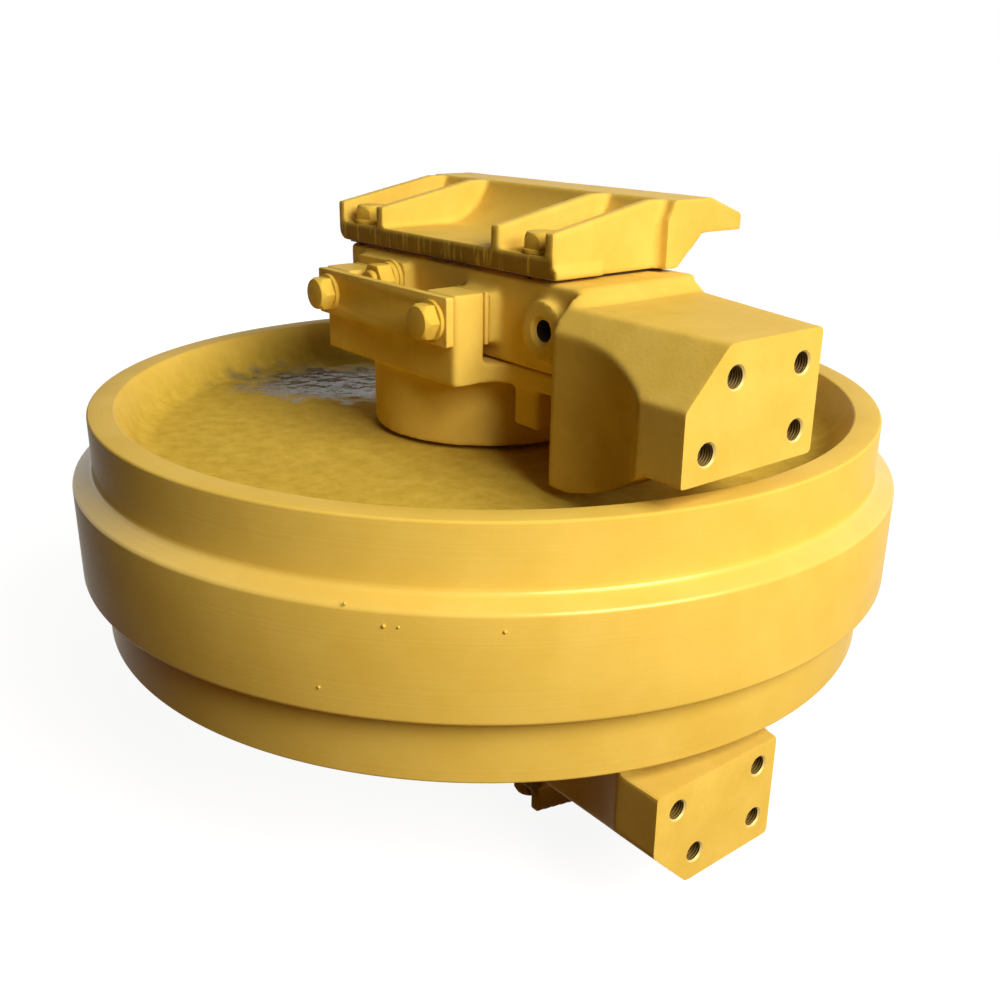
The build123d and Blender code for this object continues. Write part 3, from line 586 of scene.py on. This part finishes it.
# Threads in the end blocks
# Four 20 mm tapped holes in each block. Their mouths are countersunk and their threads cut after painting, so
# both are bare bright steel. Each thread is one coil of a 2.5 mm pitch on the wall of its hole.
pitch = 2.5
turns = 15
coil_start = -3.2
crest_radius = 8.65
coil_half = 0.95
mouth_radius = 10.0
outer_radius = 10.6
mouth_lip, countersink_end, wall_start, wall_end = -0.1, -1.6, -2.8, -43.0
mouth = turned("thread_mouth", [
    (outer_radius, mouth_lip), (mouth_radius, mouth_lip), (crest_radius, countersink_end),
    (mouth_radius, wall_start), (mouth_radius, wall_end), (outer_radius, wall_end),
], {}, sides=48)

# The coil's section is a triangle whose point faces the hole's axis.
inward = Matrix(((0, -1, 0), (0, 0, -1), (1, 0, 0))).to_euler()
bpy.ops.object.select_all(action="DESELECT")
bpy.ops.mesh.primitive_circle_add(vertices=3, radius=coil_half * MM, rotation=inward,
                                  location=((crest_radius + coil_half) * MM, 0, coil_start * MM))
coil = bpy.context.object
bpy.ops.object.transform_apply(location=True, rotation=True, scale=True)
finish_with(coil, "SCREW", axis="Z", angle=2 * math.pi, screw_offset=-pitch * MM, iterations=turns, steps=24,
            render_steps=24)
edit_all(coil)
bpy.ops.mesh.fill_holes(sides=4)
bpy.ops.mesh.normals_make_consistent(inside=False)
bpy.ops.object.mode_set(mode="OBJECT")
tapped = joined("tapped_hole", [mouth, coil])
threads = []
for y, z in yoke_holes:
    thread = copied("thread", tapped.data)
    thread.location = (end_face * MM, y * MM, z * MM)
    thread.rotation_euler = (0, math.pi / 2, 0)
    pick(thread)
    bpy.ops.object.transform_apply(location=True, rotation=True, scale=True)
    threads.append(thread)
bpy.data.objects.remove(tapped)
threads = joined("yoke_threads_upper", threads)
shade(threads, 30)

# Freshly cut steel: the countersink is a pale bare ring, and past it the threads turn a dull dark brown,
# which is painted shade deep in the hole.
hole_shade_start, hole_shade_end = end_face - 1.4, end_face - 2.4
cut_steel_with_hole_shade, tree = blank_finish("cut_steel_painted_hole_shade")
place = add_node(tree, "ShaderNodeTexCoord").outputs["Object"]
depth = add_node(tree, "ShaderNodeSeparateXYZ", links={0: place}).outputs["X"]
bare = add_node(tree, "ShaderNodeMapRange", {1: hole_shade_end * MM, 2: hole_shade_start * MM, 3: 0.0, 4: 1.0},
                {0: depth}).outputs[0]
hole_shade_tint = add_node(tree, "ShaderNodeMix", {"data_type": "RGBA", 6: linear("735a26"), 7: linear("dcc67c")},
               {0: bare})
shader = add_node(tree, "ShaderNodeBsdfPrincipled",
                  {"Metallic": 0.15, "Roughness": 0.45, "Specular IOR Level": 0.2},
                  {"Base Color": hole_shade_tint.outputs[2]})
add_node(tree, "ShaderNodeOutputMaterial", links={"Surface": shader.outputs[0]})
threads.data.materials.append(cut_steel_with_hole_shade)
fit_pair(threads, None)


# Collars
# Cast seal housings between the wheel's web and each bracket: a barrel, a square base with a wing, a stop
# lug, and two machined ears joined by a bridge.
collar = solid_copy("collar_casting_upper", "collar_upper")
cast(collar, skin_mm=2.2, softness=5)
shade(collar, 40)
collar.data.materials.append(cast_enamel)
fit_pair(collar, "collar")


# Side guides
# Ribbed castings bolted on top of each bracket. They run against the track frame's rails, so their crest is
# broad and smooth. The paint was laid on thick here, and ran down the front of the slab.
side_guide = solid_copy("side_guide_casting_upper", "side_guide_upper")
cast(side_guide, skin_mm=2.2, softness=4)
shade(side_guide, 40)

# The runs show as streaks down the slab's front, about 7 mm apart and 70 mm long, in a darker brown that
# covers most of the front and stands a little proud; this darker brown is partly the runs and partly painted
# shade on the front face. The rest is the enamel of the other castings.
run_width, run_length = 7.0, 70.0
run_depth = 0.5
slab_top, slab_full = 270.0, 262.0
front_start, front_full = -73.0, -75.5
runs_and_shade_enamel, tree, place, shader, bump, tint = enamel(
    "enamel_with_runs_and_painted_shade", light="e8c45c", deep="dbb54c", roughness=0.38, grain_mm=3.0,
    grain_depth_mm=0.20, patch_mm=55)
spot = add_node(tree, "ShaderNodeSeparateXYZ", links={0: place})
stretch = add_node(tree, "ShaderNodeMapping", {"Scale": (1 / (run_width * MM), 1.0, 1 / (run_length * MM))},
                   {"Vector": place})
streak = add_node(tree, "ShaderNodeTexNoise", {"Scale": 1.0, "Detail": 3.0, "Roughness": 0.65},
                  {"Vector": stretch.outputs[0]})
height = add_node(tree, "ShaderNodeMath", {"operation": "ABSOLUTE"}, {0: spot.outputs["Z"]}).outputs[0]
low = add_node(tree, "ShaderNodeMapRange", {1: slab_top * MM, 2: slab_full * MM, 3: 0.0, 4: 1.0},
               {0: height}).outputs[0]
front = add_node(tree, "ShaderNodeMapRange", {1: front_start * MM, 2: front_full * MM, 3: 0.0, 4: 1.0},
                 {0: spot.outputs["Y"]}).outputs[0]
slab = add_node(tree, "ShaderNodeMath", {"operation": "MULTIPLY"}, {0: low, 1: front}).outputs[0]
thick = add_node(tree, "ShaderNodeMapRange", {1: 0.55, 2: 0.66, 3: 1.0, 4: 0.35}, {0: streak.outputs["Fac"]})
shown = add_node(tree, "ShaderNodeMath", {"operation": "MULTIPLY"}, {0: thick.outputs[0], 1: slab}).outputs[0]
# Most of the slab's front takes this darker brown: painted shade on the front face, broken by lighter run
# streaks.
runs_and_front_shade = add_node(tree, "ShaderNodeMix", {"data_type": "RGBA", 7: linear("9c7928")},
                  {0: shown, 6: tint.outputs[2]})
tree.links.new(runs_and_front_shade.outputs[2], shader.inputs["Base Color"])
runs = add_node(tree, "ShaderNodeBump", {"Distance": run_depth * MM},
                {"Height": shown, "Normal": bump.outputs["Normal"]})
tree.links.new(runs.outputs["Normal"], shader.inputs["Normal"])
side_guide.data.materials.append(runs_and_shade_enamel)
fit_pair(side_guide, "side_guide")


# Bolts, nuts, washers, plate and shims
# Hot-rolled plate and 20 mm fasteners, painted over with the rest. Their edges are broken by a small bevel.
def twist(piece, test, angle):
    """Turns the part of a piece that passes a test about its own upright axis, by an angle in degrees.

    The wrench leaves bolt heads at different angles.
    """
    part = [vertex.co for vertex in piece.data.vertices if test(vertex.co)]
    centre = [(min(co[axis] for co in part) + max(co[axis] for co in part)) / 2 for axis in range(3)]
    select_edges(piece, test)
    bpy.ops.transform.rotate(value=math.radians(angle), orient_axis="Z", center_override=centre)
    bpy.ops.object.mode_set(mode="OBJECT")


# Enamel on bolts and nuts is thin and smooth, so they look a little sleeker than the castings. The plate and
# the ear shims have the castings' coat.
fastener_enamel = enamel("enamel_over_fasteners", light="e4bf50", deep="d9b242", roughness=0.30, grain_mm=4.0,
                         grain_depth_mm=0.05, patch_mm=30)[0]
broken_edges = {"retainer_plate": 1.2, "retainer_bolts": 0.7, "retainer_washers": 0.6, "lock_bolt": 0.7,
                "lock_nut": 0.7, "lock_washers": 0.6, "guide_bolts": 0.7, "guide_washers": 0.6,
                "ear_shims": 0.5}
left_head_turn, right_head_turn = -18, -8
for node, edge_mm in broken_edges.items():
    piece = solid_copy(node + "_painted_upper", node + "_upper")
    if node == "guide_bolts":
        middle = sum(vertex.co.x for vertex in piece.data.vertices) / len(piece.data.vertices)
        twist(piece, lambda p: p.x < middle, left_head_turn)
        twist(piece, lambda p: p.x > middle, right_head_turn)
    edit_all(piece)
    bpy.ops.mesh.dissolve_limited(angle_limit=math.radians(2))
    bpy.ops.object.mode_set(mode="OBJECT")
    finish_with(piece, "BEVEL", width=edge_mm * MM, segments=2, limit_method="ANGLE",
                angle_limit=math.radians(28))
    shade(piece, 40)
    flat_plate = node in ("retainer_plate", "ear_shims")
    piece.data.materials.append(cast_enamel if flat_plate else fastener_enamel)
    fit_pair(piece, node)


# Parts inside
# The ground shaft, its bronze bushings, the lapped seal rings and their rubbers, closed in by the castings,
# and the strip under each side guide, of which only an edge shows. All are the imported model's own pieces.

# Ground steel mirrors softly and bright, turned bronze is warm, lapped iron is darker and even, and moulded
# rubber is a matt black. The strip is matt and dark brown: painted shade in the gap under each side guide.
shaft_steel = plain_finish("ground_shaft_steel", "b9bbbd", metallic=1.0, roughness=0.25, mark_mm=0.8)
rubber = plain_finish("nitrile_rubber", "1c1c1c", metallic=0.0, roughness=0.65, mark_mm=0.8)
inner_finishes = {
    "shaft_oring": rubber,
    "toric": rubber,
    "bushing": plain_finish("turned_bronze", "b98a4a", metallic=1.0, roughness=0.32, mark_mm=1.0),
    "seal_ring": plain_finish("lapped_seal_iron", "6d6e70", metallic=1.0, roughness=0.30, mark_mm=0.6),
    "guide_shims": plain_finish("shim_strip_painted_shade", "382810", metallic=0.0, roughness=0.65, mark_mm=2.0),
}
for name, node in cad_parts.items():
    finish = next((made for part, made in inner_finishes.items() if part in name), shaft_steel)
    node.data.materials.clear()
    node.data.materials.append(finish)
